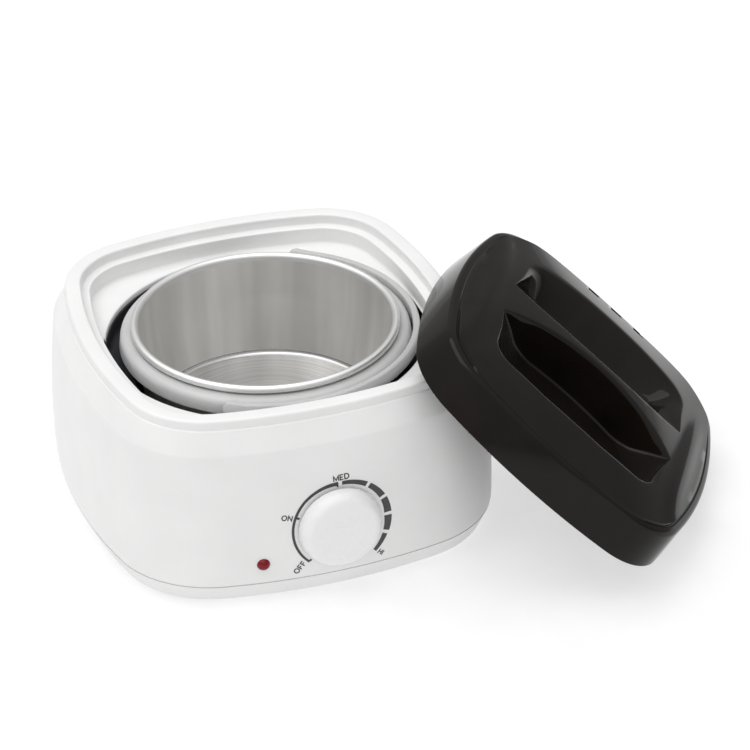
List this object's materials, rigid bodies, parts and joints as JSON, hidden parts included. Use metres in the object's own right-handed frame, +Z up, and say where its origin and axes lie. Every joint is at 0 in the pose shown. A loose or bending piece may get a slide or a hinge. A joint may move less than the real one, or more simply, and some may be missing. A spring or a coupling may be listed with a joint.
{
  "type": "wax heater",
  "caption": "Square-ish heated base with a dial, a lift-out round metal pot with a folding bail handle, and a loose domed lid leaning on the base's front corner.",
  "frame": {"origin": "centre of the base's plan at table level; the pan's flat underside is 1 mm above it, on four feet", "axes": "+Z up, -Y to the front wall with the control knob, +X to the right as seen from the front; the lid leans at the +X -Y corner"},
  "size_m": [0.2551, 0.2198, 0.1014],
  "materials": {
    "white_shell": "smooth white",
    "rubber": "matt",
    "steel": "plated",
    "dark_coat": "dark non-stick coat",
    "mica": "mica board",
    "felt": "needled felt",
    "fuse_body": "glazed body with steel leads",
    "control_body": "moulded",
    "brass": "turned",
    "led_red": "tinted lens",
    "board": "laminate",
    "block": "moulded",
    "inlet_black": "moulded",
    "lead_sleeve": "silicone sleeve",
    "pot_metal": "spun satin",
    "frosted": "translucent",
    "lid_black": "polished black"
  },
  "bodies": {
    "base": {"housing_shell": "white_shell", "housing_deck": "white_shell", "base_pan": "white_shell", "rubber_feet": "rubber", "pan_screws": "steel", "heater_bowl": "dark_coat", "bowl_screws": "steel", "band_heater": "mica", "heater_strap": "steel", "strap_bolt": "steel", "insulation_sleeve": "felt", "thermal_fuse": "fuse_body", "fuse_clip": "steel", "thermostat_body": "control_body", "thermostat_nut": "brass", "led_lens": "led_red", "led_board": "board", "terminal_block": "block", "mains_inlet": "inlet_black", "inlet_pins": "brass", "internal_leads": "lead_sleeve"},
    "knob": {"control_knob": "white_shell", "thermostat_shaft": "brass"},
    "pot": {"wax_can": "pot_metal", "pot_collar": "frosted", "bail_pins": "steel"},
    "bail": {"bail_handle": "frosted"},
    "lid": {"lid": "lid_black"}
  },
  "joints": [
    {"name": "knob_turn", "type": "hinge", "parent": "base", "child": "knob", "pos_m": [0.0015, -0.0848, 0.0306], "axis": [0, 1, 0], "range_deg": [0, 275]},
    {"name": "pot_lift", "type": "slide", "parent": "base", "child": "pot", "axis": [0, 0, 1], "range_m": [0, 0.1]},
    {"name": "bail_fold", "type": "hinge", "parent": "pot", "child": "bail", "pos_m": [0, 0, 0.07], "axis": [-0.5, -0.866, 0], "range_deg": [0, 180]},
    {"name": "lid_lift", "type": "slide", "parent": "base", "child": "lid", "axis": [0, 0, 1], "range_m": [0, 0.12]}
  ]
}
